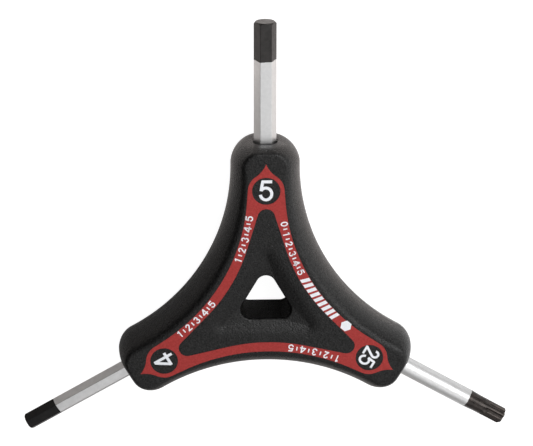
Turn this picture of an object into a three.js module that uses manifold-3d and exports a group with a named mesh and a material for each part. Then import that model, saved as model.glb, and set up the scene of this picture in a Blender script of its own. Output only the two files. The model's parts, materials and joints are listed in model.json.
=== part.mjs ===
// Three-arm hand wrench: a moulded plastic handle that holds three steel drive blades.
// Lengths are in millimetres and angles in degrees.
// The wrench lies on its back: +Z points out of its front face and +Y along the 5 mm blade.

import * as THREE from "three";
import { mergeVertices } from "three/addons/utils/BufferGeometryUtils.js";
import Module from "manifold-3d";

const wasm = await Module();
wasm.setup();

// Driving dimensions of the handle, taken from the hub's axis and from mid thickness
const handleSize = {
  thickness: 16.4,
  armReach: 41.6,
  armHalfWidth: 8.75,
  armEndRadius: 60,
  shoulderRadius: 6.25,
  waist: 17.9,
  sideInset: 4.7,
  endInset: 2.1,
  edgeRadius: 2.2,
  faceCornerRadius: 3,
};

// Hole through the hub: a triangle with round corners, each corner pointing along an arm.
// Its walls widen by the draft from mid thickness to both faces.
const holeSize = {
  inradius: 4.45,
  draft: 2.5,
  cornerRadius: 2.2,
  rimRadius: 1.2,
};

// Shallow dish that falls from each face to the rim of the hole: its three slopes meet in valleys
const dishSize = {
  inradius: 8.4,
  cornerRadius: 2.3,
  valleyRadius: 0.4,
  depth: 0.8,
};

// Steel bars: how far each end lies from the hub's axis, and the groove that the plastic grips
const barSize = {
  innerEnd: 14,
  footChamfer: 0.4,
  grooveStart: 18,
  grooveLength: 5,
  grooveDepth: 0.7,
};

// Shape of the two hexagon blades, whose end chamfer is turned
const hexBladeFive = {
  name: "blade_hex_5",
  acrossFlats: 5,
  reach: 71.9,
  chamfer: 0.45,
  bearing: 0,
  roll: 3,
};
const hexBladeFour = {
  name: "blade_hex_4",
  acrossFlats: 4,
  reach: 71.9,
  chamfer: 0.4,
  bearing: 120,
  roll: -2,
};
const hexBlades = [hexBladeFive, hexBladeFour];

// Shape of the six-lobe blade: a round shank, a lobed tip and two flats on the held end
const lobeBlade = {
  name: "blade_t25",
  shankDiameter: 4.8,
  tipDiameter: 4.5,
  rootDiameter: 3.25,
  lobeRadius: 0.375,
  reach: 72.4,
  taperStart: 61.5,
  taperEnd: 64.5,
  fluteStart: 67.5,
  cutterRadius: 4.2,
  chamfer: 0.3,
  flatsWidth: 4,
  flatsEnd: 28,
  bearing: -120,
  roll: -12,
};

// Room left round a bar in the handle, and the overrun of every cut
const clearance = 0.3;
const overrun = 2;

// Counts of arms and lobes, and how finely curves are divided
const armCount = 3;
const lobeCount = 6;
const endSteps = 3;
const shoulderSteps = 9;
const waistSteps = 11;
const sideSteps = 4;
const edgeSteps = 3;
const cornerSteps = 8;
const turnedSteps = 36;
const fluteSteps = 28;
const wheelSteps = 48;

const sector = (2 * Math.PI) / armCount;
const halfSector = sector / 2;

const plastic = new THREE.MeshStandardMaterial({ color: 0x2a2929, roughness: 0.6, metalness: 0 });
const satinChrome = new THREE.MeshStandardMaterial({ color: 0xc9c7c4, roughness: 0.3, metalness: 1 });

// Solid from a closed three.js geometry
function solidOf(geometry) {
  const bare = geometry.clone();
  bare.deleteAttribute("normal");
  bare.deleteAttribute("uv");
  const merged = mergeVertices(bare);
  const mesh = new wasm.Mesh({
    numProp: 3,
    vertProperties: new Float32Array(merged.attributes.position.array),
    triVerts: new Uint32Array(merged.index.array),
  });
  return new wasm.Manifold(mesh);
}

// Named mesh from a solid
function meshOf(name, solid, material) {
  const { vertProperties, triVerts } = solid.getMesh();
  const geometry = new THREE.BufferGeometry();
  geometry.setAttribute("position", new THREE.BufferAttribute(vertProperties, 3));
  geometry.setIndex(new THREE.BufferAttribute(triVerts, 1));
  geometry.computeVertexNormals();
  const mesh = new THREE.Mesh(geometry, material);
  mesh.name = name;
  return mesh;
}

// Points of an arc from one angle to another, its first point left out
function arc(centre, radius, from, to, steps) {
  const points = [];
  for (let i = 1; i <= steps; i += 1) {
    const angle = from + ((to - from) * i) / steps;
    points.push(new THREE.Vector2(radius * Math.cos(angle), radius * Math.sin(angle)).add(centre));
  }
  return points;
}

// Closed loop of flat points at one height
function ring(points, height) {
  return points.map((point) => new THREE.Vector3(point.x, point.y, height));
}

// Closed body through rings of equally many points, listed upwards and turning left
function loft(rings) {
  const count = rings[0].length;
  const index = [];
  for (let level = 0; level + 1 < rings.length; level += 1) {
    for (let i = 0; i < count; i += 1) {
      const low = level * count + i;
      const lowNext = level * count + ((i + 1) % count);
      index.push(low, lowNext, lowNext + count);
      index.push(low, lowNext + count, low + count);
    }
  }
  const last = (rings.length - 1) * count;
  for (const [a, b, c] of THREE.ShapeUtils.triangulateShape(rings[0], [])) {
    index.push(a, c, b);
  }
  for (const [a, b, c] of THREE.ShapeUtils.triangulateShape(rings[rings.length - 1], [])) {
    index.push(last + a, last + b, last + c);
  }
  const geometry = new THREE.BufferGeometry().setFromPoints(rings.flat());
  geometry.setIndex(index);
  return geometry;
}

// Half of one arm's outline, from the middle of its end round the shoulder to the waist.
// All three arcs are tangent, so the waist's radius follows from the other sizes.
function halfArm({ reach, halfWidth, shoulderRadius, waist }) {
  const endCentre = new THREE.Vector2(0, reach - handleSize.armEndRadius);
  const shoulderX = halfWidth - shoulderRadius;
  const shoulderDistance = handleSize.armEndRadius - shoulderRadius;
  const shoulder = new THREE.Vector2(shoulderX, endCentre.y + Math.sqrt(shoulderDistance ** 2 - shoulderX ** 2));
  const side = new THREE.Vector2(Math.sin(halfSector), Math.cos(halfSector));
  const along = shoulder.dot(side);
  const waistRadius = (shoulderRadius ** 2 - waist ** 2 + 2 * waist * along - shoulder.lengthSq())
    / (2 * (waist - along - shoulderRadius));
  const waistCentre = side.clone().multiplyScalar(waist + waistRadius);
  const endAngle = shoulder.clone().sub(endCentre).angle();
  const shoulderAngle = Math.atan2(waistCentre.y - shoulder.y, waistCentre.x - shoulder.x);
  return [
    new THREE.Vector2(0, reach),
    ...arc(endCentre, handleSize.armEndRadius, Math.PI / 2, endAngle, endSteps),
    ...arc(shoulder, shoulderRadius, endAngle, shoulderAngle, shoulderSteps),
    ...arc(waistCentre, waistRadius, shoulderAngle + Math.PI, side.angle() + Math.PI, waistSteps),
  ];
}

// Whole outline of the three arms, turning left
function threeArms(size) {
  const half = halfArm(size);
  const mirrored = half.slice(1, -1).map((point) => new THREE.Vector2(-point.x, point.y));
  const arm = [...half.slice().reverse(), ...mirrored];
  const outline = [];
  for (let k = 0; k < armCount; k += 1) {
    outline.push(...arm.map((point) => point.clone().rotateAround(new THREE.Vector2(), k * sector)));
  }
  return outline;
}

// Triangle with round corners, turning left, its corners on the arms' axes
function roundTriangle(inradius, cornerRadius) {
  const outline = [];
  for (let k = 0; k < armCount; k += 1) {
    const bearing = Math.PI / 2 + k * sector;
    const corner = new THREE.Vector2(0, (inradius - cornerRadius) / Math.cos(halfSector));
    corner.rotateAround(new THREE.Vector2(), k * sector);
    outline.push(...arc(corner, cornerRadius, bearing - halfSector, bearing + halfSector, cornerSteps));
  }
  return outline;
}

// Heights above mid thickness, from the middle to the face, with the share of the inset at each.
// A side is one large arc that a small edge arc joins to the flat face.
function sideLevels() {
  const half = handleSize.thickness / 2;
  const edge = handleSize.edgeRadius;
  const inset = handleSize.sideInset;
  const radius = (inset ** 2 + (half - edge) ** 2 - edge ** 2) / (2 * (inset - edge));
  const edgeAngle = Math.asin((half - edge) / (radius - edge));
  const levels = [];
  for (let i = 0; i <= sideSteps; i += 1) {
    const angle = (edgeAngle * i) / sideSteps;
    levels.push({ height: radius * Math.sin(angle), share: (radius * (1 - Math.cos(angle))) / inset });
  }
  for (let i = 1; i <= edgeSteps; i += 1) {
    const angle = edgeAngle + ((Math.PI / 2 - edgeAngle) * i) / edgeSteps;
    const drawnIn = inset - edge * Math.cos(angle);
    levels.push({ height: half - edge + edge * Math.sin(angle), share: drawnIn / inset });
  }
  return levels;
}

// Body of the handle before anything is cut from it
function handleBlank() {
  const middle = threeArms({
    reach: handleSize.armReach,
    halfWidth: handleSize.armHalfWidth,
    shoulderRadius: handleSize.shoulderRadius,
    waist: handleSize.waist,
  });
  const face = threeArms({
    reach: handleSize.armReach - handleSize.endInset,
    halfWidth: handleSize.armHalfWidth - handleSize.sideInset,
    shoulderRadius: handleSize.faceCornerRadius,
    waist: handleSize.waist - handleSize.sideInset,
  });
  const front = sideLevels();
  const back = front.slice(1).reverse().map(({ height, share }) => ({ height: -height, share }));
  const rings = [...back, ...front].map(({ height, share }) => {
    const points = middle.map((point, i) => point.clone().lerp(face[i], share));
    return ring(points, height);
  });
  return solidOf(loft(rings));
}

// Cutter for the hole, its rounded rims and the dish in both faces
function holeCutter() {
  const half = handleSize.thickness / 2;
  const floor = half - dishSize.depth;
  const widening = (floor - holeSize.rimRadius) * Math.tan(THREE.MathUtils.degToRad(holeSize.draft));
  const rimInradius = holeSize.inradius + widening + holeSize.rimRadius;
  const upper = [{ height: 0, inradius: holeSize.inradius, corner: holeSize.cornerRadius }];
  for (let i = 0; i <= edgeSteps; i += 1) {
    const angle = (Math.PI / 2) * (i / edgeSteps);
    const flare = widening + holeSize.rimRadius * (1 - Math.cos(angle));
    upper.push({
      height: floor - holeSize.rimRadius * (1 - Math.sin(angle)),
      inradius: holeSize.inradius + flare,
      corner: holeSize.cornerRadius + flare,
    });
  }
  const fall = dishSize.depth / (dishSize.inradius - rimInradius);
  for (const step of [dishSize.valleyRadius - dishSize.cornerRadius, overrun]) {
    upper.push({
      height: half + step * fall,
      inradius: dishSize.inradius + step,
      corner: dishSize.cornerRadius + step,
    });
  }
  const lower = upper.slice(1).reverse().map((level) => ({ ...level, height: -level.height }));
  const rings = [...lower, ...upper].map((level) => {
    return ring(roundTriangle(level.inradius, level.corner), level.height);
  });
  return solidOf(loft(rings));
}

// Turned outline of a bar from its held end to its tip, larger all round by grow
function turnedBar({ radius, reach, chamfer, waistRadius }, grow) {
  const grooveEnd = barSize.grooveStart + barSize.grooveLength;
  const profile = [
    [0, barSize.innerEnd - grow],
    [radius + grow - barSize.footChamfer, barSize.innerEnd - grow],
    [radius + grow, barSize.innerEnd - grow + barSize.footChamfer],
    [radius + grow, barSize.grooveStart + grow],
    [waistRadius + grow, barSize.grooveStart + grow],
    [waistRadius + grow, grooveEnd - grow],
    [radius + grow, grooveEnd - grow],
    [radius + grow, reach - chamfer],
    [radius + grow - chamfer, reach],
    [0, reach],
  ];
  const points = profile.map(([x, y]) => new THREE.Vector2(x, y));
  return solidOf(new THREE.LatheGeometry(points, turnedSteps));
}

// Hexagon bar along +Y with a flat towards +Z
function hexBar(blade, grow) {
  const flat = blade.acrossFlats / 2;
  const cornerRadius = flat / Math.cos(Math.PI / lobeCount);
  const length = blade.reach - barSize.innerEnd + 2 * overrun;
  const prismRadius = (flat + grow) / Math.cos(Math.PI / lobeCount);
  const prism = new THREE.CylinderGeometry(prismRadius, prismRadius, length, lobeCount, 1);
  prism.rotateY(Math.PI / lobeCount);
  prism.translate(0, (blade.reach + barSize.innerEnd) / 2, 0);
  const turned = turnedBar({
    radius: cornerRadius,
    reach: blade.reach,
    chamfer: blade.chamfer,
    waistRadius: flat - barSize.grooveDepth,
  }, grow);
  return solidOf(prism).intersect(turned);
}

// Cutter for one flute towards +Z: a round-bottomed channel that a form wheel runs out of
function fluteCutter(blade) {
  const lobe = blade.tipDiameter / 2 - blade.lobeRadius;
  const root = blade.rootDiameter / 2;
  const turn = Math.cos(Math.PI / lobeCount);
  const radius = (lobe ** 2 + root ** 2 - blade.lobeRadius ** 2 - 2 * lobe * root * turn)
    / (2 * (blade.lobeRadius + lobe * turn - root));
  const length = blade.reach - blade.fluteStart + overrun;
  const channel = new THREE.CylinderGeometry(radius, radius, length, fluteSteps);
  channel.translate(0, blade.fluteStart + length / 2, root + radius);
  const wheel = new THREE.TorusGeometry(blade.cutterRadius, radius, fluteSteps, wheelSteps);
  wheel.rotateY(Math.PI / 2);
  wheel.translate(0, blade.fluteStart, root + radius + blade.cutterRadius);
  return solidOf(channel).add(solidOf(wheel));
}

// Round bar along +Y with two flats on its held end
function roundBar(blade, grow) {
  const radius = blade.shankDiameter / 2;
  let bar = turnedBar({
    radius,
    reach: blade.reach,
    chamfer: blade.chamfer,
    waistRadius: blade.flatsWidth / 2 - barSize.grooveDepth,
  }, grow);
  const flatsLength = blade.flatsEnd - barSize.innerEnd + overrun;
  for (const side of [-1, 1]) {
    const depth = radius + overrun;
    const cut = new THREE.BoxGeometry(2 * depth, flatsLength, depth);
    const middle = blade.flatsEnd - grow - flatsLength / 2;
    cut.translate(0, middle, side * (blade.flatsWidth / 2 + grow + depth / 2));
    bar = bar.subtract(solidOf(cut));
  }
  return bar;
}

// Round bar with its tip drawn in to the lobed diameter and fluted
function lobedBar(blade) {
  const shank = blade.shankDiameter / 2 + overrun;
  const tip = blade.tipDiameter / 2;
  const sleeve = [
    [blade.shankDiameter / 2, blade.taperStart],
    [shank, blade.taperStart],
    [shank, blade.reach + overrun],
    [tip - blade.chamfer - overrun, blade.reach + overrun],
    [tip - blade.chamfer, blade.reach],
    [tip, blade.reach - blade.chamfer],
    [tip, blade.taperEnd],
    [blade.shankDiameter / 2, blade.taperStart],
  ];
  const points = sleeve.map(([x, y]) => new THREE.Vector2(x, y));
  let bar = roundBar(blade, 0).subtract(solidOf(new THREE.LatheGeometry(points, turnedSteps)));
  for (let k = 0; k < lobeCount; k += 1) {
    const cutter = fluteCutter(blade);
    bar = bar.subtract(cutter.rotate([0, (k * 360) / lobeCount, 0]));
  }
  return bar;
}

// Pose of a blade: turned about its own axis, then about the hub's axis
function place(object, blade) {
  const holder = new THREE.Group();
  object.rotation.y = THREE.MathUtils.degToRad(blade.roll);
  holder.rotation.z = THREE.MathUtils.degToRad(blade.bearing);
  holder.add(object);
  return holder;
}

// Handle with its hole and with a pocket round each blade
function handle() {
  const pockets = [
    ...hexBlades.map((blade) => ({ blade, bar: hexBar(blade, clearance) })),
    { blade: lobeBlade, bar: roundBar(lobeBlade, clearance) },
  ];
  let body = handleBlank().subtract(holeCutter());
  for (const { blade, bar } of pockets) {
    body = body.subtract(bar.rotate([0, blade.roll, 0]).rotate([0, 0, blade.bearing]));
  }
  return meshOf("handle", body, plastic);
}

const wrench = new THREE.Group();
wrench.add(handle());
for (const blade of hexBlades) {
  wrench.add(place(meshOf(blade.name, hexBar(blade, 0), satinChrome), blade));
}
wrench.add(place(meshOf(lobeBlade.name, lobedBar(lobeBlade), satinChrome), lobeBlade));

// The origin is the middle of the bottom of the wrench's box
const bounds = new THREE.Box3().setFromObject(wrench, true);
wrench.position.set(-(bounds.min.x + bounds.max.x) / 2, -(bounds.min.y + bounds.max.y) / 2, -bounds.min.z);

const part = new THREE.Group();
part.add(wrench);

export default part;
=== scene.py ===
# Looks of a three-arm hand wrench that lies on its back.
# Shapes are in millimetres, laid out from the hub's axis and from mid thickness, with the 5 mm
# blade along +Y, and to_frame() puts them into the frame's metres. Named angles are in degrees, and
# SECTOR and the angles that arc() takes are in radians.

import json
import math

import bmesh
import bpy
import numpy as np
from mathutils import Matrix, Vector
from mathutils.geometry import tessellate_polygon


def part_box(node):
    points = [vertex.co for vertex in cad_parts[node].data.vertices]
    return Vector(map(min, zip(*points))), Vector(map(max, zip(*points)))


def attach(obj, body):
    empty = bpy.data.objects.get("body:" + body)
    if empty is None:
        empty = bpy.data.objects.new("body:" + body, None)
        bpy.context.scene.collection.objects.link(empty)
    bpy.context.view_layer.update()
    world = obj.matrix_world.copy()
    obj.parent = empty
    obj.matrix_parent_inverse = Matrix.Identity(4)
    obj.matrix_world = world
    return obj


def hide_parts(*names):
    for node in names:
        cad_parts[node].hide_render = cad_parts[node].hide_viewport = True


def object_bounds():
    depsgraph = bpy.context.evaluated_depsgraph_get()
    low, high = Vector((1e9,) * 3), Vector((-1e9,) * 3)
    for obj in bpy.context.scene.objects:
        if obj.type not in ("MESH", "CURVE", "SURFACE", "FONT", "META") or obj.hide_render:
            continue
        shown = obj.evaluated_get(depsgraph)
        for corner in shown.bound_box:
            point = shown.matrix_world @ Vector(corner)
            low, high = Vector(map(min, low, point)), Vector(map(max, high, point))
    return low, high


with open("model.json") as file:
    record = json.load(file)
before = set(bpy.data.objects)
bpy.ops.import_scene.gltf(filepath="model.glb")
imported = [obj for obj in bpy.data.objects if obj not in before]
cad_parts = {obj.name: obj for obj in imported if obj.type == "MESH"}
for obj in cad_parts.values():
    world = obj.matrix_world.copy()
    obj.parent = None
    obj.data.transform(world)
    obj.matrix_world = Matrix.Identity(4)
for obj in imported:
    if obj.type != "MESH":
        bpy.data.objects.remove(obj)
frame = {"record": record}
cad_low, cad_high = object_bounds()

MM = 0.001
ARMS = 3
SECTOR = 2 * math.pi / ARMS
HEX_SIDES = 6
LOBES = 6
BODY = "root"
BAR_UV = "length_and_girth"
WHITE = (1, 1, 1, 1)

# Handle: its solid's sizes, some of them changed by tenths of a millimetre to follow the photograph
HANDLE = {
    "thickness": 16.4,
    "arm_reach": 41.6,
    "arm_half_width": 8.75,
    "arm_end_radius": 60,
    "shoulder_radius": 6.25,
    "waist": 18.05,
    "side_inset": 4.7,
    "arm_inset": 4.1,
    "end_inset": 2.1,
    "back_end_inset": 1.5,
    "edge_radius": 2.6,
    "face_corner_radius": 3,
    "seat_radii": (2.4, 6.2),
    "seat_depth": 0.72,
    "seat_softness": 0.25,
    "collar": (2.6, 0.42, 0.6),
    "seam_height": 0.05,
    "seam_half_width": 0.12,
}
HOLE = {"inradius": 4.45, "draft": 2.5, "corner_radius": 2.2, "rim_radius": 0.8}
DISH = {"inradius": 8.4, "corner_radius": 2.3, "valley_radius": 0.4, "depth": 1.1, "edge_radius": 8}
POCKET = {"start": 30, "gap": 0.3, "mouth": 0.2, "overrun": 1}

# Blades: held ends, hexagons and six-lobe tip
BAR = {
    "inner_end": 14, "foot_chamfer": 0.4,
    "groove_start": 18, "groove_end": 23, "groove_depth": 0.7,
}
HEX_FIVE = {
    "name": "5", "across_flats": 5, "reach": 71.9, "chamfer": 0.45, "corner_radius": 0.16,
    "bearing": 0, "roll": 3, "dark_from": 62.1,
}
HEX_FOUR = {
    "name": "4", "across_flats": 4, "reach": 71.9, "chamfer": 0.4, "corner_radius": 0.14,
    "bearing": 120, "roll": -2, "dark_from": 62.7,
}
LOBED = {
    "name": "25", "shank": 4.8, "tip": 4.5, "root": 3.25, "lobe_radius": 0.375, "reach": 72.38,
    "taper_start": 61.5, "taper_end": 64.5, "flute_start": 68.1, "wheel_radius": 2.6,
    "chamfer": 0.3, "flats_width": 4, "flats_end": 28, "bearing": -120, "roll": -1,
    "dark_from": 61.5,
}

# Last ring of a hexagon's side, just short of its chamfer, which keeps the side's shading flat
CHAMFER_MARGIN = 0.05

# How the edge of a blackened tip wanders: a slow wave round the bar and a quicker, smaller one
WANDER = {"depth": 0.1, "slow": 2, "phase": 1, "quick": 5, "quick_share": 0.5}

# Print on the front face, in two layers of ink that lie within the solid's thickness: a band round
# the hub with a pointed ring on each arm, and white figures
INK = 0.03
FACE = HANDLE["thickness"] / 2 - 2 * INK
PRINT = {
    "offset": (0.15, -0.24),
    "turn": 0.25,
    "ring_reach": 30.5,
    "ring_radius": 4.6,
    "disc_radius": 3.56,
    "point_reach": 37.6,
    "flank_radius": 7,
    "outer_waist": 13.0,
    "outer_radius": 48.8,
    "inner_waist": 10.5,
    "inner_radius": 44.9,
    "window_reach": 25.75,
    "window_radius": 2.2,
}

# Figures drawn as strokes, in shares of their height: x from the middle, y from the foot
STROKE_SHARE = 0.14
FIGURE_SHARES = {
    "0": [[("oval", (0, 0.5), (0.24, 0.43), 0, 360)]],
    "1": [[("line", (0.06, 0), (0.06, 1))], [("line", (0.06, 0.93), (-0.16, 0.76))]],
    "2": [[("oval", (0, 0.72), (0.2, 0.205), 190, -28), ("line", (0.18, 0.62), (-0.2, 0.1))],
          [("line", (-0.28, 0.075), (0.29, 0.075))]],
    "3": [[("oval", (0, 0.73), (0.19, 0.2), 170, -90)],
          [("oval", (0, 0.3), (0.23, 0.23), 90, -175)]],
    "4": [[("line", (0.143, 0), (0.143, 1))], [("line", (-0.36, 0.31), (0.37, 0.31))],
          [("line", (0.12, 0.96), (-0.31, 0.31))]],
    "5": [[("line", (-0.2, 0.93), (0.27, 0.93))], [("line", (-0.155, 0.95), (-0.235, 0.487))],
          [("oval", (-0.01, 0.354), (0.258, 0.283), 142, -172)]],
}

# Size numbers: height, pitch, shift from the disc's middle, bearing of the arm, share of the width
SIZE_NUMBERS = {
    "5": (5.55, 0, (0, 0.11), 0, 1),
    "4": (5.2, 0, (0.02, -0.12), 120, 1),
    "25": (4.4, 2.62, (-0.15, -0.2), -120, 0.95),
}

# Marks on the bands. Scales: figures, height, the band's bearing, place of the first figure, pitch
SCALES = {
    "scale_left_low": ("12345", 1.9, 60, -18.4, 2.9),
    "scale_left_high": ("12345", 1.9, 60, 6.9, 2.9),
    "scale_bottom": ("12345", 1.9, 180, -18.6, 3.1),
    "scale_right": ("012345", 1.8, -60, -16.9, 2.75),
}
SCALE_FIGURE = {"stroke_share": 0.17, "width_share": 1.1}
TICK = {"width": 0.32, "height_share": 0.55}
BARS = {
    "width": 0.95, "height": 2.3, "lean": 0.3,
    "bearing": -60, "start": -0.6, "pitch": 1.55, "count": 9,
}
HEXAGON_MARK = {"radius": 1.5, "bearing": -60, "along": 15.9}

# Surfaces: shader values and colours that noise spreads between two ends, noise scales in features
# to a metre, and bump depths in metres
FINE_DETAIL = 3
RAMP_ENDS = (0.32, 0.68)
PLASTIC = {
    "base": (0.0055, 0.0053, 0.0052),
    "colours": ((0.0005, 0.0005, 0.0005), (0.0075, 0.0072, 0.007)),
    "grain_scale": 2600,
    "grain_depth": 0.00016,
    "base_roughness": 0.3,
    "roughness": (0.27, 0.33),
    "roughness_scale": 700,
    "base_specular": 0.3,
    "specular": (0.18, 0.42),
    "specular_scale": 3200,
}
CHROME = {
    "base": (0.7, 0.7, 0.7),
    "shades": (0.96, 1.03),
    "shade_scale": 1200,
    "base_roughness": 0.38,
    "roughness": (0.35, 0.42),
    "roughness_scale": 900,
    "anisotropy": 0.5,
    "anisotropy_turn": 0.25,
    "line_scale": 2500,
    "line_depth": 0.000003,
}
BLACKENED = {
    "metallic": 0.6,
    "shade_scale": 700,
    "roughness_scale": 1500,
    "line_scale": 3000,
    "line_stretch": (0.1, 1, 1),
    "line_depth": 0.000008,
}
INK_SURFACE = {
    "specular": 0.25,
    "base_roughness": 0.45,
    "roughness": (0.42, 0.52),
    "roughness_scale": 900,
    "grain_scale": 2600,
    "grain_depth": 0.00004,
}
RED_INK = ((0.29, 0.022, 0.019), (0.38, 0.034, 0.031))
WHITE_INK = ((0.78, 0.8, 0.84), (0.84, 0.86, 0.9))

# Brightness of each blade's chrome, and colours and roughness of its blackened tip. The blackening
# and roughness are the blades' own finish; the differences in brightness between blades are painted
# light and shade, the 4 mm tip darkened most
FINISHES_AND_PAINTED_SHADE = {
    "5": {
        "shade": 0.85,
        "colours": ((0.016, 0.0148, 0.0142), (0.029, 0.0265, 0.0255)),
        "roughness": (0.3, 0.42),
    },
    "4": {
        "shade": 0.87,
        "colours": ((0.0025, 0.0023, 0.0023), (0.0065, 0.006, 0.0058)),
        "roughness": (0.3, 0.42),
    },
    "25": {
        "shade": 0.87,
        "colours": ((0.022, 0.018, 0.016), (0.048, 0.038, 0.034)),
        "roughness": (0.17, 0.27),
    },
}

# Camera fitted to the photograph: its turn, and its place in millimetres from the hub's front face
CAMERA = {
    "focal_px": 2200,
    "image_px": 533,
    "turn": (19.989, 1.813, 0.624),
    "place": (-0.1007, -20.5277, -560.5091),
    "clip": (0.01, 20),
}
SENSOR = 36

# Floor and studio, in metres: the floor's glow, and the places where reflections show it changed by
# painted light and shade
STAGE = {
    "floor_half": 3.0,
    "floor_colour": (0.3, 0.297, 0.295, 1),
    "glow": 0.95,
    # Painted light: in reflections the glow fades to the left, as if the floor were lit from the
    # right
    "painted_light_reach": (-0.2, 0.0),
    "painted_light_range": (0.3, 1.0),
    # Painted shadows of the handle on the glow: under the hub, round a place on the left, and below
    # the lower edges
    "shade_reach": (0.008, 0.014),
    "shade_share": 0.02,
    "painted_shadow_centre": (-0.035, -0.02),
    "painted_shadow_reach": (0.014, 0.07),
    "painted_shadow_share": 0.1,
    "edge_shadow_reach": (-0.045, -0.02),
    "edge_shadow_share": 0.35,
    # Painted light: the glow is full past the upper arm's end, and towards the right
    "far_reach": (0.026, 0.036),
    "right_reach": (0.034, 0.044),
    "right_share": 0.75,
    "bright_side": (0.84, -0.54, 0),
    "world_reach": (-0.4, 0.3),
    "world_range": (0.07, 0.5),
    "warm": (1, 0.92, 0.885, 1),
}

# Lamps: place in metres from the hub, width and height, radiance, point faced, angle of the beam
OPEN_BEAM = 180
LAMPS = {
    "key": ((0.17, 0.13, 0.28), (0.3, 0.18), 0.5, (0.04, 0.03, 0), 60),
    "side": ((0.75, -0.1, 0.3), (0.8, 0.8), 1.15, (0, 0, 0), OPEN_BEAM),
    "overhead": ((0.06, -0.27, 0.93), (0.42, 1.02), 1.02, (0, 0, 0), OPEN_BEAM),
    "back": ((0.09, 0.19, 0.37), (0.24, 0.16), 2.6, (0, 0, 0), OPEN_BEAM),
    "card": ((0.22, 0.7, 0.37), (0.35, 0.35), 2.2, (0, 0, 0), OPEN_BEAM),
}

# How finely curves are divided
END_STEPS = 12
SHOULDER_STEPS = 26
WAIST_STEPS = 24
SIDE_STEPS = 30
EDGE_STEPS = 6
DISH_EDGE_POINTS = 6
RIM_POINTS = 8
CORNER_STEPS = 14
CIRCLE_STEPS = 144
HEX_CORNER_STEPS = 4
HEX_FLAT_STEPS = 8
CHAMFER_STEPS = 8
LOBED_STEPS = 240
TIP_STEPS = {"taper": 6, "run_out": 25, "flutes": 5, "chamfer": 3}
FLUTE_SEARCH = {"from_share": 0.6, "points": 400}
ARC_STEPS = 40
FIGURE_ARC_STEPS = 28

# Angles past which an edge is shaded sharp, and the weight that keeps flat faces flat
HANDLE_SHARP = 28
BAR_SHARP = 25
FACE_WEIGHT = 100


def hub_place():
    """Hub's axis at mid thickness, where the lines of two blades cross."""
    mounts = {m["name"]: m for m in frame["record"]["mounts"]}
    five, four = mounts["hex_5_tip_face"], mounts["hex_4_tip_face"]
    x = five["pos_m"][0]
    reach = (four["pos_m"][0] - x) / four["axis"][0]
    low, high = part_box("handle")
    return Vector((x, four["pos_m"][1] - reach * four["axis"][1], (low.z + high.z) / 2))


HUB = hub_place()


def to_frame(points):
    return [Vector(p) * MM + HUB for p in points]


def turned(points, degrees):
    """Flat points turned about the hub's axis."""
    c, s = math.cos(math.radians(degrees)), math.sin(math.radians(degrees))
    return np.asarray(points) @ np.array([[c, s], [-s, c]])


def arc(centre, radius, start, end, steps, both_ends=False):
    """Points of an arc between two angles in radians, the first one left out unless asked for."""
    angles = np.linspace(start, end, steps + 1)[0 if both_ends else 1:]
    radii = radius if np.ndim(radius) else (radius, radius)
    x = centre[0] + radii[0] * np.cos(angles)
    y = centre[1] + radii[1] * np.sin(angles)
    return np.column_stack([x, y])


def all_arms(half):
    """Closed outline that turns left, from half an arm's outline, its end first and waist last."""
    mirrored = half[1:-1] * [-1, 1]
    arm = np.vstack([half[::-1], mirrored])
    return np.vstack([turned(arm, 360 * k / ARMS) for k in range(ARMS)])


# Meshes

def new_object(name, points, faces):
    """Linked mesh object from points in millimetres, its faces turned outwards."""
    mesh = bpy.data.meshes.new(name)
    mesh.from_pydata(to_frame(points), [], [tuple(int(i) for i in f) for f in faces])
    edit = bmesh.new()
    edit.from_mesh(mesh)
    bmesh.ops.recalc_face_normals(edit, faces=edit.faces)
    edit.to_mesh(mesh)
    edit.free()
    piece = bpy.data.objects.new(name, mesh)
    bpy.context.scene.collection.objects.link(piece)
    return piece


def new_piece(name, points, faces, material, uv=None):
    """Object with a material and a slot, and with its points' UV places where they are given."""
    piece = new_object(name, points, faces)
    mesh = piece.data
    if uv is not None:
        layer = mesh.uv_layers.new(name=BAR_UV)
        for loop in mesh.loops:
            layer.data[loop.index].uv = uv[loop.vertex_index]
    mesh.materials.append(material)
    return piece


def boolean(piece, other, operation):
    """Cuts another object out of a piece, or joins it on, and deletes the other."""
    modifier = piece.modifiers.new(operation, "BOOLEAN")
    modifier.operation = operation
    modifier.solver = "EXACT"
    modifier.object = other
    bpy.context.view_layer.update()
    depsgraph = bpy.context.evaluated_depsgraph_get()
    result = bpy.data.meshes.new_from_object(piece.evaluated_get(depsgraph))
    piece.modifiers.clear()
    old = piece.data
    piece.data = result
    name = old.name
    bpy.data.meshes.remove(old)
    result.name = name
    bpy.data.objects.remove(other)


def smooth(piece, sharp_degrees):
    """Smooth shading that keeps flat faces flat and edges over an angle sharp."""
    piece.data.shade_smooth()
    piece.data.set_sharp_from_angle(angle=math.radians(sharp_degrees))
    weighted = piece.modifiers.new("weighted_normals", "WEIGHTED_NORMAL")
    weighted.keep_sharp = True
    weighted.weight = FACE_WEIGHT


def strip_faces(rings, count, first=0):
    """Faces between neighbouring rings of equally many points."""
    i = np.arange(count)
    j = (i + 1) % count
    faces = []
    for level in range(rings - 1):
        low = first + level * count
        faces.extend(np.column_stack([low + i, low + j, low + count + j, low + count + i]).tolist())
    return faces


def capped(rings):
    """Points and faces of a tube through rings of equally many points, closed at both ends."""
    count = len(rings[0])
    last = (len(rings) - 1) * count
    faces = strip_faces(len(rings), count) + [list(range(count)), list(range(last, last + count))]
    return np.vstack(rings), faces


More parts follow.
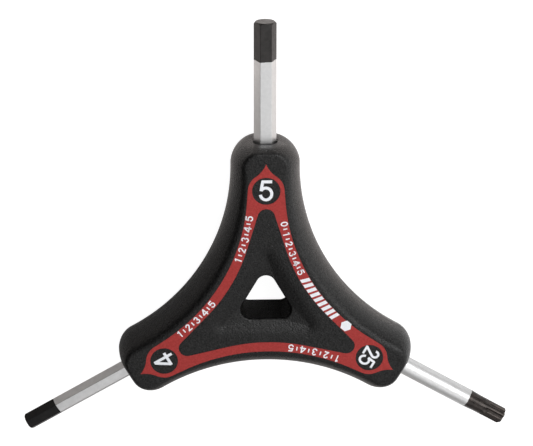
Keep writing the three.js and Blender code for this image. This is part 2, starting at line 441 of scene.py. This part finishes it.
def prism(outlines, low, high):
    """Solid between two heights from a flat outline and the outlines of its openings."""
    flat = [[Vector((x, y, 0)) for x, y in outline] for outline in outlines]
    points = [p for outline in flat for p in outline]
    count = len(points)
    triangles = tessellate_polygon(flat)
    faces = list(triangles) + [tuple(count + i for i in reversed(t)) for t in triangles]
    first = 0
    for outline in outlines:
        n = len(outline)
        for i in range(n):
            j = (i + 1) % n
            faces.append((first + i, first + j, count + first + j, count + first + i))
        first += n
    points = [(p.x, p.y, low) for p in points] + [(p.x, p.y, high) for p in points]
    return points, faces


# Handle

def half_arm(reach, half_width, shoulder_radius, waist):
    """Half of one arm's outline: an end arc, a shoulder arc and a waist arc, all tangent."""
    end_radius = HANDLE["arm_end_radius"]
    end_centre = np.array([0, reach - end_radius])
    across = half_width - shoulder_radius
    up = math.sqrt((end_radius - shoulder_radius) ** 2 - across ** 2)
    shoulder = np.array([across, end_centre[1] + up])
    side = np.array([math.sin(SECTOR / 2), math.cos(SECTOR / 2)])
    along = shoulder @ side
    waist_radius = (shoulder_radius ** 2 - waist ** 2 + 2 * waist * along - shoulder @ shoulder) \
        / (2 * (waist - along - shoulder_radius))
    waist_centre = side * (waist + waist_radius)
    end_angle = math.atan2(up, across)
    joint = math.atan2(*(waist_centre - shoulder)[::-1])
    middle = math.atan2(side[1], side[0])
    return np.vstack([
        [[0, reach]],
        arc(end_centre, end_radius, math.pi / 2, end_angle, END_STEPS),
        arc(shoulder, shoulder_radius, end_angle, joint, SHOULDER_STEPS),
        arc(waist_centre, waist_radius, joint + math.pi, middle + math.pi, WAIST_STEPS),
    ])


def side_levels(half):
    """Heights and shares of the inset from mid thickness to a face, by a side and an edge arc."""
    edge, inset = HANDLE["edge_radius"], HANDLE["side_inset"]
    radius = (inset ** 2 + (half - edge) ** 2 - edge ** 2) / (2 * (inset - edge))
    turn = math.asin((half - edge) / (radius - edge))
    side = [(radius * math.sin(a), radius * (1 - math.cos(a)) / inset)
            for a in np.linspace(0, turn, SIDE_STEPS + 1)]
    edge_arc = [(half - edge + edge * math.sin(a), 1 - edge * math.cos(a) / inset)
                for a in np.linspace(turn, math.pi / 2, EDGE_STEPS + 1)[1:]]
    return side + edge_arc


def round_triangle(inradius, corner_radius):
    """Triangle with round corners, turning left, its corners on the arms' axes."""
    corner = (inradius - corner_radius) / math.cos(SECTOR / 2)
    start, end = (math.pi - SECTOR) / 2, (math.pi + SECTOR) / 2
    third = arc((0, corner), corner_radius, start, end, CORNER_STEPS, True)
    return np.vstack([turned(third, 360 * k / ARMS) for k in range(ARMS)])


def hole_levels(face):
    """Heights, inradii and corner radii down half of the hole: dish edge, dish slope and rim."""
    rim = HOLE["rim_radius"]
    wall = HANDLE["thickness"] / 2 - DISH["depth"] - rim
    widening = wall * math.tan(math.radians(HOLE["draft"]))
    inradius = HOLE["inradius"] + widening
    fall = DISH["depth"] / (DISH["inradius"] - inradius - rim)
    slope = math.atan(fall)
    edge = DISH["edge_radius"]
    start = DISH["inradius"] + edge * math.tan(slope / 2)
    levels = []
    for a in np.linspace(0, slope, DISH_EDGE_POINTS):
        across = start - edge * math.sin(a)
        corner = DISH["corner_radius"] + across - DISH["inradius"]
        levels.append((face - edge * (1 - math.cos(a)), across, corner))
    valley = DISH["inradius"] - (DISH["corner_radius"] - DISH["valley_radius"])
    levels.append((face - (DISH["inradius"] - valley) * fall, valley, DISH["valley_radius"]))
    meet = inradius + rim * (1 - math.sin(slope))
    meet_height = face - (DISH["inradius"] - meet) * fall
    centre = meet_height - rim * math.cos(slope)
    for a in np.linspace(math.pi / 2 - slope, 0, RIM_POINTS):
        across = inradius + rim * (1 - math.cos(a))
        corner = HOLE["corner_radius"] + across - inradius + widening
        levels.append((centre + rim * math.sin(a), across, corner))
    return levels


def level_ring(outline, height):
    return np.column_stack([outline, np.full(len(outline), height)])


def handle_body():
    """Closed body of the handle before its pockets are cut."""
    half = HANDLE["thickness"] / 2
    seam, seam_half = HANDLE["seam_height"], HANDLE["seam_half_width"]
    middle = all_arms(half_arm(HANDLE["arm_reach"], HANDLE["arm_half_width"],
                               HANDLE["shoulder_radius"], HANDLE["waist"]))
    back_flat, front_flat = (
        all_arms(half_arm(HANDLE["arm_reach"] - HANDLE[inset],
                          HANDLE["arm_half_width"] - HANDLE["arm_inset"],
                          HANDLE["face_corner_radius"], HANDLE["waist"] - HANDLE["side_inset"]))
        for inset in ("back_end_inset", "end_inset"))
    front, back = side_levels(FACE), side_levels(half)
    levels = [(-h, s) for h, s in back[:0:-1]]
    levels += [(-seam_half, 0), (0, -seam / HANDLE["side_inset"]), (seam_half, 0)]
    levels += front[1:]
    outer = []
    for height, share in levels:
        flat = front_flat if height > 0 else back_flat
        outer.append(seated(level_ring(middle + (flat - middle) * share, height)))
    down = hole_levels(FACE) + [(0, HOLE["inradius"], HOLE["corner_radius"])]
    up = [(-h, across, corner) for h, across, corner in hole_levels(half)[::-1]]
    inner = [level_ring(round_triangle(across, corner), height)
             for height, across, corner in down + up]
    points = np.vstack(outer + inner)
    count, hole_count = len(middle), len(inner[0])
    first = len(outer) * count
    faces = strip_faces(len(outer), count) + strip_faces(len(inner), hole_count, first)
    top_ring, hole_top = (len(outer) - 1) * count, first
    hole_bottom = first + (len(inner) - 1) * hole_count
    for ring, opening in ((top_ring, hole_top), (0, hole_bottom)):
        loops = [range(ring, ring + count), range(opening, opening + hole_count)]
        ids = [i for loop in loops for i in loop]
        flat = [[Vector((*points[i][:2], 0)) for i in loop] for loop in loops]
        faces += [tuple(ids[i] for i in t) for t in tessellate_polygon(flat)]
    return points, faces


def seated(ring):
    """Ring of the handle with a shallow cone and a narrow collar sunk round each blade."""
    inner, outer = HANDLE["seat_radii"]
    soft = HANDLE["seat_softness"]
    collar_radius, collar_width, collar_depth = HANDLE["collar"]
    depth = HANDLE["seat_depth"]
    for k in range(ARMS):
        local = turned(ring[:, :2], -360 * k / ARMS)
        away = np.hypot(local[:, 0], ring[:, 2])
        drop = depth * soft * np.logaddexp(0, (outer - away) / soft) / (outer - inner)
        drop += collar_depth * np.exp(-((away - collar_radius) / collar_width) ** 2)
        drop *= local[:, 1] > HANDLE["arm_reach"] - HANDLE["side_inset"]
        ring[:, :2] -= np.outer(drop, turned(np.array([[0, 1]]), 360 * k / ARMS)[0])
    return ring


def pocket_cutter(outline, blade):
    """Cutter for the outer end of a blade's pocket, with a small flare at its mouth."""
    gap = POCKET["gap"]
    flare_start = HANDLE["arm_reach"] - POCKET["mouth"]
    end = HANDLE["arm_reach"] + POCKET["overrun"]
    stations = [(POCKET["start"], gap), (flare_start, gap), (end, gap + end - flare_start)]
    size = np.linalg.norm(outline, axis=1, keepdims=True)
    rings = []
    for along, grow in stations:
        ring = outline * (1 + grow / size)
        rings.append(np.column_stack([ring[:, 0], np.full(len(ring), along), ring[:, 1]]))
    points, faces = capped(rings)
    return new_object("cutter", placed(points, blade), faces)


def make_handle(material):
    points, faces = handle_body()
    piece = new_piece("handle_shell", points, faces, material)
    sections = [(blade, hexagon(blade)) for blade in (HEX_FIVE, HEX_FOUR)]
    for blade, outline in [*sections, (LOBED, shank_circle())]:
        boolean(piece, pocket_cutter(outline, blade), "DIFFERENCE")
    smooth(piece, HANDLE_SHARP)
    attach(piece, BODY)
    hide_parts("handle")


# Blades

def placed(points, blade):
    """Points of a bar that lies along +Y, rolled about its own axis and swung to its arm."""
    roll = Matrix.Rotation(math.radians(blade["roll"]), 3, "Y")
    swing = Matrix.Rotation(math.radians(blade["bearing"]), 3, "Z")
    return np.asarray(points) @ np.array(swing @ roll).T


def hexagon(blade):
    """Section of a hexagon bar with a flat towards +Z and slightly rounded corners, as x and z."""
    flat, radius = blade["across_flats"] / 2, blade["corner_radius"]
    reach = (flat - radius) / math.cos(math.pi / HEX_SIDES)
    half = math.pi / HEX_SIDES
    points = []
    for k in range(HEX_SIDES):
        bearing = 2 * math.pi * k / HEX_SIDES
        centre = (reach * math.cos(bearing), reach * math.sin(bearing))
        corner = arc(centre, radius, bearing - half, bearing + half, HEX_CORNER_STEPS, True)
        if points:
            points.extend(along_line(points[-1], corner[0], HEX_FLAT_STEPS))
        points.extend(corner)
    points.extend(along_line(points[-1], points[0], HEX_FLAT_STEPS))
    return np.array(points)


def along_line(start, end, steps):
    return [start + (end - start) * i / steps for i in range(1, steps)]


def shank_circle():
    return arc((0, 0), LOBED["shank"] / 2, 0, 2 * math.pi, CIRCLE_STEPS)


def make_bar(name, sections, blade, material, node):
    """Closed bar from sections, each a station along the bar and its ring of x and z."""
    count = len(sections[0][1])
    stations = [np.broadcast_to(along, count) for along, _ in sections]
    rings = [np.column_stack([ring[:, 0], along, ring[:, 1]])
             for along, (_, ring) in zip(stations, sections)]
    points, faces = capped(rings)
    # Girth goes by the first ring's place along the bar, so noise on it is finer round the bar
    girth = np.linspace(0, 2 * math.pi * np.abs(rings[0]).max(), count)
    uv = [(a * MM, g * MM) for along in stations for a, g in zip(along, girth)]
    piece = new_piece(name, placed(points, blade), faces, material, uv)
    smooth(piece, BAR_SHARP)
    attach(piece, BODY)
    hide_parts(node)


def clipped(outline, limit):
    """Outline with every point drawn in to a circle."""
    size = np.linalg.norm(outline, axis=1, keepdims=True)
    return outline * np.minimum(1, limit / size)


def wavy(outline, along):
    """Stations round a ring of a boundary that wanders a little, as a dipped finish does."""
    bearing = np.arctan2(outline[:, 1], outline[:, 0])
    slow = np.sin(WANDER["slow"] * bearing + WANDER["phase"])
    quick = WANDER["quick_share"] * np.sin(WANDER["quick"] * bearing)
    return along + WANDER["depth"] * (slow + quick)


def held_profile(radius, waist_radius):
    """Stations and limiting radii of a bar's held end with its groove."""
    foot = BAR["inner_end"]
    return [
        (foot, radius - BAR["foot_chamfer"]),
        (foot + BAR["foot_chamfer"], radius),
        (BAR["groove_start"], radius),
        (BAR["groove_start"], waist_radius),
        (BAR["groove_end"], waist_radius),
        (BAR["groove_end"], radius),
    ]


def make_hex_blade(blade, chrome, dark):
    outline = hexagon(blade)
    corner = np.linalg.norm(outline, axis=1).max()
    flat = blade["across_flats"] / 2
    held = [(s, clipped(outline, r)) for s, r in held_profile(corner, flat - BAR["groove_depth"])]
    boundary = wavy(outline, blade["dark_from"])
    node = "blade_hex_" + blade["name"]
    bar = held + [(boundary, outline)]
    make_bar("bar_hex_" + blade["name"], bar, blade, chrome, node)
    start = blade["reach"] - blade["chamfer"]
    tip = [(boundary, outline), (start - CHAMFER_MARGIN, outline)]
    for share in np.linspace(0, 1, CHAMFER_STEPS + 1):
        fall = share * blade["chamfer"]
        tip.append((start + fall, clipped(outline, corner - fall)))
    make_bar("tip_hex_" + blade["name"], tip, blade, dark, node)


def flute_depth(bearing, along, limit):
    """Distance from the axis to the fluted tip's surface, at bearings from a flute's middle."""
    lobe = LOBED["tip"] / 2 - LOBED["lobe_radius"]
    root = LOBED["root"] / 2
    turn = math.cos(math.pi / LOBES)
    radius = (lobe ** 2 + root ** 2 - LOBED["lobe_radius"] ** 2 - 2 * lobe * root * turn) \
        / (2 * (LOBED["lobe_radius"] + lobe * turn - root))
    wheel = LOBED["wheel_radius"]
    r = np.linspace(FLUTE_SEARCH["from_share"], 1, FLUTE_SEARCH["points"])[:, None] * limit
    x, z = r * np.sin(bearing), r * np.cos(bearing)
    back = max(LOBED["flute_start"] - along, 0)
    if back:
        rim = np.hypot(back, root + radius + wheel - z) - wheel
    else:
        rim = root + radius - z
    inside = np.hypot(rim, x) < radius
    first = np.where(inside.any(0), inside.argmax(0), len(r) - 1)
    return r[first, 0]


def fluted(along, limit):
    """Ring of the six-lobe tip at one station."""
    bearings = np.linspace(0, 2 * math.pi, LOBED_STEPS + 1)[:-1]
    step = 2 * math.pi / LOBES
    from_flute = (bearings + step / 2) % step - step / 2
    reach = flute_depth(from_flute, along, limit)
    return np.column_stack([reach * np.sin(bearings), reach * np.cos(bearings)])


def make_lobed_blade(chrome, dark):
    node = "blade_t" + LOBED["name"]
    shank = LOBED["shank"] / 2
    circle = fluted(0, shank)
    flat = LOBED["flats_width"] / 2
    bar = []
    held = held_profile(shank, flat - BAR["groove_depth"]) + [(LOBED["flats_end"], shank)]
    for station, limit in held:
        ring = clipped(circle, limit)
        bar.append((station, np.column_stack([ring[:, 0], np.clip(ring[:, 1], -flat, flat)])))
    boundary = wavy(circle, LOBED["dark_from"])
    bar += [(LOBED["flats_end"], circle), (boundary, circle)]
    make_bar("bar_t" + LOBED["name"], bar, LOBED, chrome, node)
    tip_radius = LOBED["tip"] / 2
    taper_start, taper_end, reach = LOBED["taper_start"], LOBED["taper_end"], LOBED["reach"]
    chamfer_start = reach - LOBED["chamfer"]
    stops = (taper_start, taper_end, LOBED["flute_start"], chamfer_start, reach)
    tip = [(boundary, circle)]
    for start, end, steps in zip(stops, stops[1:], TIP_STEPS.values()):
        for along in np.linspace(start, end, steps + 1)[1:]:
            limit = np.interp(along, [taper_start, taper_end, chamfer_start, reach],
                              [shank, tip_radius, tip_radius, tip_radius - LOBED["chamfer"]])
            tip.append((along, fluted(along, limit)))
    make_bar("tip_t" + LOBED["name"], tip, LOBED, dark, node)


# Print

def tangent_half(centre, radius, waist, waist_radius):
    """Angle at which a straight tangent leaves a ring's arc, and the waist arc that it meets."""
    side = np.array([math.sin(SECTOR / 2), math.cos(SECTOR / 2)])
    waist_centre = side * (waist + waist_radius)
    apart = waist_centre - centre
    distance = np.linalg.norm(apart)
    leave = math.atan2(apart[1], apart[0]) + math.acos(min(1, (radius + waist_radius) / distance))
    middle = math.atan2(side[1], side[0])
    start, end = leave + math.pi, middle + math.pi
    return leave, arc(waist_centre, waist_radius, start, end, ARC_STEPS, True)


def pointed_outline():
    """Outer edge of the print: concave flanks rise to a point past each ring."""
    p = PRINT
    centre = np.array([0, p["ring_reach"]])
    point = p["point_reach"] - p["ring_reach"]
    flank = p["flank_radius"]
    far = p["ring_radius"] + flank
    up = (far ** 2 - flank ** 2 + point ** 2) / (2 * point)
    across = math.sqrt(far ** 2 - up ** 2)
    flank_centre = centre + [across, up]
    touch = math.atan2(up, across)
    top = math.atan2(point - up, -across) % (2 * math.pi)
    leave, waist_arc = tangent_half(centre, p["ring_radius"], p["outer_waist"], p["outer_radius"])
    return all_arms(np.vstack([
        arc(flank_centre, flank, top, touch + math.pi, ARC_STEPS // 2, True),
        arc(centre, p["ring_radius"], touch, leave, ARC_STEPS),
        waist_arc,
    ]))


def window_outline():
    """Inner edge of the print's band."""
    p = PRINT
    centre = np.array([0, p["window_reach"] - p["window_radius"]])
    leave, waist_arc = tangent_half(centre, p["window_radius"], p["inner_waist"], p["inner_radius"])
    return all_arms(np.vstack([
        [[0, p["window_reach"]]],
        arc(centre, p["window_radius"], math.pi / 2, leave, ARC_STEPS),
        waist_arc,
    ]))


def on_print(outline):
    """Outline in the print's own plane, shifted and turned as the print sits on the face."""
    return turned(outline, PRINT["turn"]) + PRINT["offset"]


def make_band(material):
    disc = arc((0, PRINT["ring_reach"]), PRINT["disc_radius"], 0, 2 * math.pi, 2 * ARC_STEPS)
    discs = [turned(disc, 360 * k / ARMS) for k in range(ARMS)]
    outlines = [on_print(o) for o in [pointed_outline(), window_outline(), *discs]]
    points, faces = prism(outlines, FACE, FACE + INK)
    piece = new_piece("print_band", points, faces, material)
    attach(piece, BODY)


def stroke_line(parts):
    """Centreline of a stroke from its parts."""
    points = []
    for kind, *values in parts:
        if kind == "line":
            points.extend(np.array(values))
        else:
            centre, radii, start, end = values
            start, end = math.radians(start), math.radians(end)
            points.extend(arc(centre, radii, start, end, FIGURE_ARC_STEPS, True))
    return np.array(points)


def thick(line, width):
    """Closed outline of a stroke with square ends."""
    steps = np.gradient(line, axis=0)
    steps /= np.linalg.norm(steps, axis=1, keepdims=True)
    side = np.column_stack([-steps[:, 1], steps[:, 0]]) * width / 2
    return np.vstack([line - side, (line + side)[::-1]])


def figure_outlines(text, height, pitch, width_share, stroke_share=STROKE_SHARE):
    """Outlines of the strokes of a short run of figures, centred on the origin."""
    outlines = []
    for i, sign in enumerate(text):
        middle = (i - (len(text) - 1) / 2) * pitch
        for parts in FIGURE_SHARES[sign]:
            line = stroke_line(parts) * [width_share, 1] * height
            outlines.append(thick(line, stroke_share * height) + [middle, -height / 2])
    return outlines


def make_figures(name, outlines, low, material):
    """White piece joined from the prisms of its outlines, one layer of ink high."""
    solids = [new_object(name, *prism([outline], low, low + INK)) for outline in outlines]
    piece = solids[0]
    for other in solids[1:]:
        boolean(piece, other, "UNION")
    piece.data.materials.clear()
    piece.data.materials.append(material)
    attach(piece, BODY)


def size_number(text, height, pitch, shift, degrees, width_share):
    """Outlines of a size number, upright when its arm points up."""
    outlines = figure_outlines(text, height, pitch, width_share)
    place = np.array([0, PRINT["ring_reach"]]) + shift
    return [on_print(turned(o + place, degrees)) for o in outlines]


def on_band(outline, degrees, along):
    """Outline moved onto the band that is centred between two arms, its up away from the hub."""
    waist = (PRINT["outer_waist"] + PRINT["inner_waist"]) / 2
    radius = (PRINT["outer_radius"] + PRINT["inner_radius"]) / 2
    swing = math.degrees(along / radius)
    far = waist + radius
    local = turned(np.asarray(outline) - [0, radius], swing) + [0, far]
    return on_print(turned(local, degrees))


def tick(width, height, lean=0.0):
    x, y = width / 2, height / 2
    return np.array([(-x - lean, -y), (x - lean, -y), (x + lean, y), (-x + lean, y)])


def band_scale(text, height, degrees, start, pitch):
    """Plain graduated scale along a band: a figure, then a tick, and so on."""
    mark = tick(TICK["width"], height * TICK["height_share"])
    outlines = []
    for i, sign in enumerate(text):
        along = start + i * pitch
        for outline in figure_outlines(sign, height, 0, **SCALE_FIGURE):
            outlines.append(on_band(outline, degrees, along))
        if i + 1 < len(text):
            outlines.append(on_band(mark, degrees, along + pitch / 2))
    return outlines


def bar_row():
    """Row of bold leaning bars."""
    bar = tick(BARS["width"], BARS["height"], BARS["lean"])
    places = [BARS["start"] + i * BARS["pitch"] for i in range(BARS["count"])]
    return [on_band(bar, BARS["bearing"], along) for along in places]


def hexagon_mark():
    """Plain hexagon, for the hexagon drive."""
    outline = arc((0, 0), HEXAGON_MARK["radius"], 0, 2 * math.pi, HEX_SIDES)
    return [on_band(outline, HEXAGON_MARK["bearing"], HEXAGON_MARK["along"])]


def make_print(red, white):
    make_band(red)
    for text, values in SIZE_NUMBERS.items():
        make_figures("size_number_" + text, size_number(text, *values), FACE, white)
    marks = {name: band_scale(*values) for name, values in SCALES.items()}
    marks["bars_right"] = bar_row()
    marks["drive_mark"] = hexagon_mark()
    for name, outlines in marks.items():
        make_figures(name, outlines, FACE + INK, white)


# Materials

def node_material(name, colour, roughness, metallic=0.0, **sockets):
    """Principled material with its uniform values set on the shader's own sockets."""
    material = bpy.data.materials.new(name)
    material.use_nodes = True
    shader = material.node_tree.nodes["Principled BSDF"]
    shader.inputs["Base Color"].default_value = (*colour, 1)
    shader.inputs["Metallic"].default_value = metallic
    shader.inputs["Roughness"].default_value = roughness
    for socket, value in sockets.items():
        shader.inputs[socket.replace("_", " ")].default_value = value
    return material


def noise(material, scale, coordinates="Object", detail=2.0, stretch=(1, 1, 1)):
    """Noise with features of about one over its scale, in metres."""
    tree = material.node_tree
    source = tree.nodes.new("ShaderNodeTexCoord")
    mapping = tree.nodes.new("ShaderNodeMapping")
    mapping.inputs["Scale"].default_value = stretch
    texture = tree.nodes.new("ShaderNodeTexNoise")
    texture.inputs["Scale"].default_value = scale
    texture.inputs["Detail"].default_value = detail
    tree.links.new(source.outputs[coordinates], mapping.inputs["Vector"])
    tree.links.new(mapping.outputs["Vector"], texture.inputs["Vector"])
    return texture.outputs["Fac"]


def ramp(material, value, ends):
    """Middle part of a value's range spread between two ends, which are numbers or colours."""
    tree = material.node_tree
    node = tree.nodes.new("ShaderNodeValToRGB")
    for element, position, end in zip(node.color_ramp.elements, RAMP_ENDS, ends):
        element.position = position
        element.color = (*end, 1) if np.ndim(end) else (end, end, end, 1)
    tree.links.new(value, node.inputs["Fac"])
    return node.outputs["Color"]


def link(material, value, socket):
    material.node_tree.links.new(value, material.node_tree.nodes["Principled BSDF"].inputs[socket])


def vary(material, socket, scale, ends, **values):
    """Noise between two ends for one of the shader's sockets."""
    link(material, ramp(material, noise(material, scale, **values), ends), socket)


def bump(material, height, depth):
    """Bump from a height and its depth in metres."""
    node = material.node_tree.nodes.new("ShaderNodeBump")
    node.inputs["Distance"].default_value = depth
    material.node_tree.links.new(height, node.inputs["Height"])
    link(material, node.outputs["Normal"], "Normal")


def black_plastic():
    """Black moulding with a fine spark-eroded grain."""
    p = PLASTIC
    m = node_material("black_plastic", p["base"], p["base_roughness"],
                      Specular_IOR_Level=p["base_specular"])
    grain = noise(m, p["grain_scale"], detail=FINE_DETAIL)
    link(m, ramp(m, grain, p["colours"]), "Base Color")
    vary(m, "Roughness", p["roughness_scale"], p["roughness"])
    vary(m, "Specular IOR Level", p["specular_scale"], p["specular"])
    bump(m, grain, p["grain_depth"])
    return m


def satin_chrome(blade):
    """Plated bar with fine lengthwise lines, which spread its reflections round its girth."""
    c = CHROME
    # Chrome brightness of this blade, with painted light and shade that differs between blades
    colour = np.array(c["base"]) * FINISHES_AND_PAINTED_SHADE[blade["name"]]["shade"]
    m = node_material("satin_chrome_" + blade["name"], colour, c["base_roughness"], 1,
                      Anisotropic=c["anisotropy"], Anisotropic_Rotation=c["anisotropy_turn"])
    tangent = m.node_tree.nodes.new("ShaderNodeTangent")
    tangent.direction_type = "UV_MAP"
    tangent.uv_map = BAR_UV
    link(m, tangent.outputs[0], "Tangent")
    vary(m, "Roughness", c["roughness_scale"], c["roughness"])
    colours = [colour * shade for shade in c["shades"]]
    vary(m, "Base Color", c["shade_scale"], colours, detail=FINE_DETAIL)
    bump(m, noise(m, c["line_scale"], detail=FINE_DETAIL), c["line_depth"])
    return m


def blackened_steel(blade):
    """Blackened finish, worn a little lighter here and there."""
    b, finish = BLACKENED, FINISHES_AND_PAINTED_SHADE[blade["name"]]
    # Tip colours of this blade: its blackening, with painted shade that differs between blades,
    # darkest on the 4 mm tip
    m = node_material("blackened_steel_" + blade["name"], finish["colours"][1],
                      sum(finish["roughness"]) / 2, b["metallic"])
    vary(m, "Base Color", b["shade_scale"], finish["colours"], detail=FINE_DETAIL)
    vary(m, "Roughness", b["roughness_scale"], finish["roughness"])
    bump(m, noise(m, b["line_scale"], "UV", FINE_DETAIL, b["line_stretch"]), b["line_depth"])
    return m


def ink(name, colours):
    s = INK_SURFACE
    m = node_material(name, colours[1], s["base_roughness"], Specular_IOR_Level=s["specular"])
    vary(m, "Base Color", s["grain_scale"], colours, detail=FINE_DETAIL)
    vary(m, "Roughness", s["roughness_scale"], s["roughness"])
    bump(m, noise(m, s["grain_scale"], detail=FINE_DETAIL), s["grain_depth"])
    return m


# Stage, light and camera

def math_node(tree, operation, first, second):
    node = tree.nodes.new("ShaderNodeMath")
    node.operation = operation
    for value, socket in ((first, node.inputs[0]), (second, node.inputs[1])):
        if isinstance(value, (int, float)):
            socket.default_value = value
        else:
            tree.links.new(value, socket)
    return node.outputs[0]


def spread(tree, value, reach, low, high):
    """Value mapped from one range to another and held at its ends."""
    node = tree.nodes.new("ShaderNodeMapRange")
    node.inputs["From Min"].default_value, node.inputs["From Max"].default_value = reach
    node.inputs["To Min"].default_value = low
    node.inputs["To Max"].default_value = high
    tree.links.new(value, node.inputs["Value"])
    return node.outputs["Result"]


def floor_tint(tree, path, x):
    """White for the camera and warm in reflections, but for those to the right of the handle."""
    tint = tree.nodes.new("ShaderNodeMix")
    tint.data_type = "RGBA"
    tint.inputs["A"].default_value = STAGE["warm"]
    tint.inputs["B"].default_value = WHITE
    right = spread(tree, x, STAGE["right_reach"], 0, 1)
    tree.links.new(math_node(tree, "MAXIMUM", path["Is Camera Ray"], right), tint.inputs["Factor"])
    return tint.outputs["Result"]


def floor_glow(tree, path, place, x, y):
    """Full for the camera. In reflections it carries painted light and shade: dimmer to the left,
    as if lit from the right, painted shadows of the handle under the hub, round a place on the left
    and, less so on the right, below the lower edges, and full past the upper arm."""
    # Painted light: reflections of the floor fade to the left, as if it were lit from the right;
    # painted shadow below the lower edges
    lit = spread(tree, x, STAGE["painted_light_reach"], *STAGE["painted_light_range"])
    near = spread(tree, y, STAGE["edge_shadow_reach"], STAGE["edge_shadow_share"], 1)
    right = spread(tree, x, STAGE["right_reach"], 0, STAGE["right_share"])
    lit = math_node(tree, "MULTIPLY", lit, math_node(tree, "MAXIMUM", near, right))
    # Painted shadows of the handle on the floor: under the hub, and round a place on the left
    for centre, reach, share in ((HUB[:2], STAGE["shade_reach"], STAGE["shade_share"]),
                                 (STAGE["painted_shadow_centre"], STAGE["painted_shadow_reach"], STAGE["painted_shadow_share"])):
        away = tree.nodes.new("ShaderNodeVectorMath")
        away.operation = "DISTANCE"
        away.inputs[1].default_value = (*centre, cad_low.z)
        tree.links.new(place, away.inputs[0])
        lit = math_node(tree, "MULTIPLY", lit, spread(tree, away.outputs["Value"], reach, share, 1))
    # Painted light: full past the upper arm's end
    lit = math_node(tree, "MAXIMUM", lit, spread(tree, y, STAGE["far_reach"], 0, 1))
    mirrored = math_node(tree, "MAXIMUM", path["Is Glossy Ray"], path["Is Transmission Ray"])
    mirrored = math_node(tree, "MULTIPLY", mirrored, lit)
    seen = math_node(tree, "MAXIMUM", path["Is Camera Ray"], mirrored)
    return math_node(tree, "MULTIPLY", seen, STAGE["glow"])


def make_floor():
    """Pale floor with a glow for the camera and for reflections, which doesn't light the wrench."""
    size, low = STAGE["floor_half"], cad_low.z
    corners = [(-size, -size, low), (size, -size, low), (size, size, low), (-size, size, low)]
    mesh = bpy.data.meshes.new("floor")
    mesh.from_pydata(corners, [], [(0, 1, 2, 3)])
    floor = bpy.data.objects.new("floor", mesh)
    bpy.context.scene.collection.objects.link(floor)
    material = bpy.data.materials.new("floor")
    material.use_nodes = True
    tree = material.node_tree
    tree.nodes.clear()
    output = tree.nodes.new("ShaderNodeOutputMaterial")
    diffuse = tree.nodes.new("ShaderNodeBsdfDiffuse")
    glow = tree.nodes.new("ShaderNodeEmission")
    both = tree.nodes.new("ShaderNodeAddShader")
    path = tree.nodes.new("ShaderNodeLightPath").outputs
    place = tree.nodes.new("ShaderNodeTexCoord").outputs["Object"]
    axes = tree.nodes.new("ShaderNodeSeparateXYZ")
    tree.links.new(place, axes.inputs[0])
    x, y = axes.outputs["X"], axes.outputs["Y"]
    diffuse.inputs["Color"].default_value = STAGE["floor_colour"]
    tree.links.new(floor_tint(tree, path, x), glow.inputs["Color"])
    tree.links.new(floor_glow(tree, path, place, x, y), glow.inputs["Strength"])
    tree.links.new(diffuse.outputs[0], both.inputs[0])
    tree.links.new(glow.outputs[0], both.inputs[1])
    tree.links.new(both.outputs[0], output.inputs["Surface"])
    mesh.materials.append(material)


def make_world():
    """Studio walls that fade from bright at the near right to dark at the far left."""
    world = bpy.data.worlds.new("studio")
    bpy.context.scene.world = world
    world.use_nodes = True
    tree = world.node_tree
    towards = tree.nodes.new("ShaderNodeVectorMath")
    towards.operation = "DOT_PRODUCT"
    towards.inputs[1].default_value = STAGE["bright_side"]
    tree.links.new(tree.nodes.new("ShaderNodeTexCoord").outputs["Generated"], towards.inputs[0])
    back = tree.nodes["Background"]
    back.inputs["Color"].default_value = WHITE
    strength = spread(tree, towards.outputs["Value"], STAGE["world_reach"], *STAGE["world_range"])
    tree.links.new(strength, back.inputs["Strength"])


def area_light(name, place, size, radiance, aim, beam_degrees):
    """Soft lamp of a width and a height that faces a point, both places in metres from the hub."""
    data = bpy.data.lights.new(name, "AREA")
    data.shape = "RECTANGLE"
    data.size, data.size_y = size
    data.energy = radiance * math.pi * size[0] * size[1]
    data.spread = math.radians(beam_degrees)
    lamp = bpy.data.objects.new(name, data)
    lamp.location = HUB + Vector(place)
    lamp.rotation_euler = (Vector(aim) - Vector(place)).to_track_quat("-Z", "Y").to_euler()
    bpy.context.scene.collection.objects.link(lamp)


def make_camera():
    data = bpy.data.cameras.new("camera")
    data.sensor_width = SENSOR
    data.lens = CAMERA["focal_px"] * SENSOR / CAMERA["image_px"]
    data.clip_start, data.clip_end = CAMERA["clip"]
    camera = bpy.data.objects.new("camera", data)
    x, y, z = (math.radians(a) for a in CAMERA["turn"])
    turn = Matrix.Rotation(z, 3, "Z") @ Matrix.Rotation(y, 3, "Y") @ Matrix.Rotation(x, 3, "X")
    front = HUB + Vector((0, 0, HANDLE["thickness"] / 2 * MM))
    place = front - turn.transposed() @ (Vector(CAMERA["place"]) * MM)
    camera.matrix_world = Matrix.Translation(place) @ turn.transposed().to_4x4()
    bpy.context.scene.collection.objects.link(camera)
    bpy.context.scene.camera = camera


make_camera()
make_handle(black_plastic())
for hex_blade in (HEX_FIVE, HEX_FOUR):
    make_hex_blade(hex_blade, satin_chrome(hex_blade), blackened_steel(hex_blade))
make_lobed_blade(satin_chrome(LOBED), blackened_steel(LOBED))
make_print(ink("red_print", RED_INK), ink("white_print", WHITE_INK))
make_floor()
make_world()
for lamp_name, lamp_values in LAMPS.items():
    area_light(lamp_name, *lamp_values)

bpy.context.scene.view_settings.view_transform = "Standard"
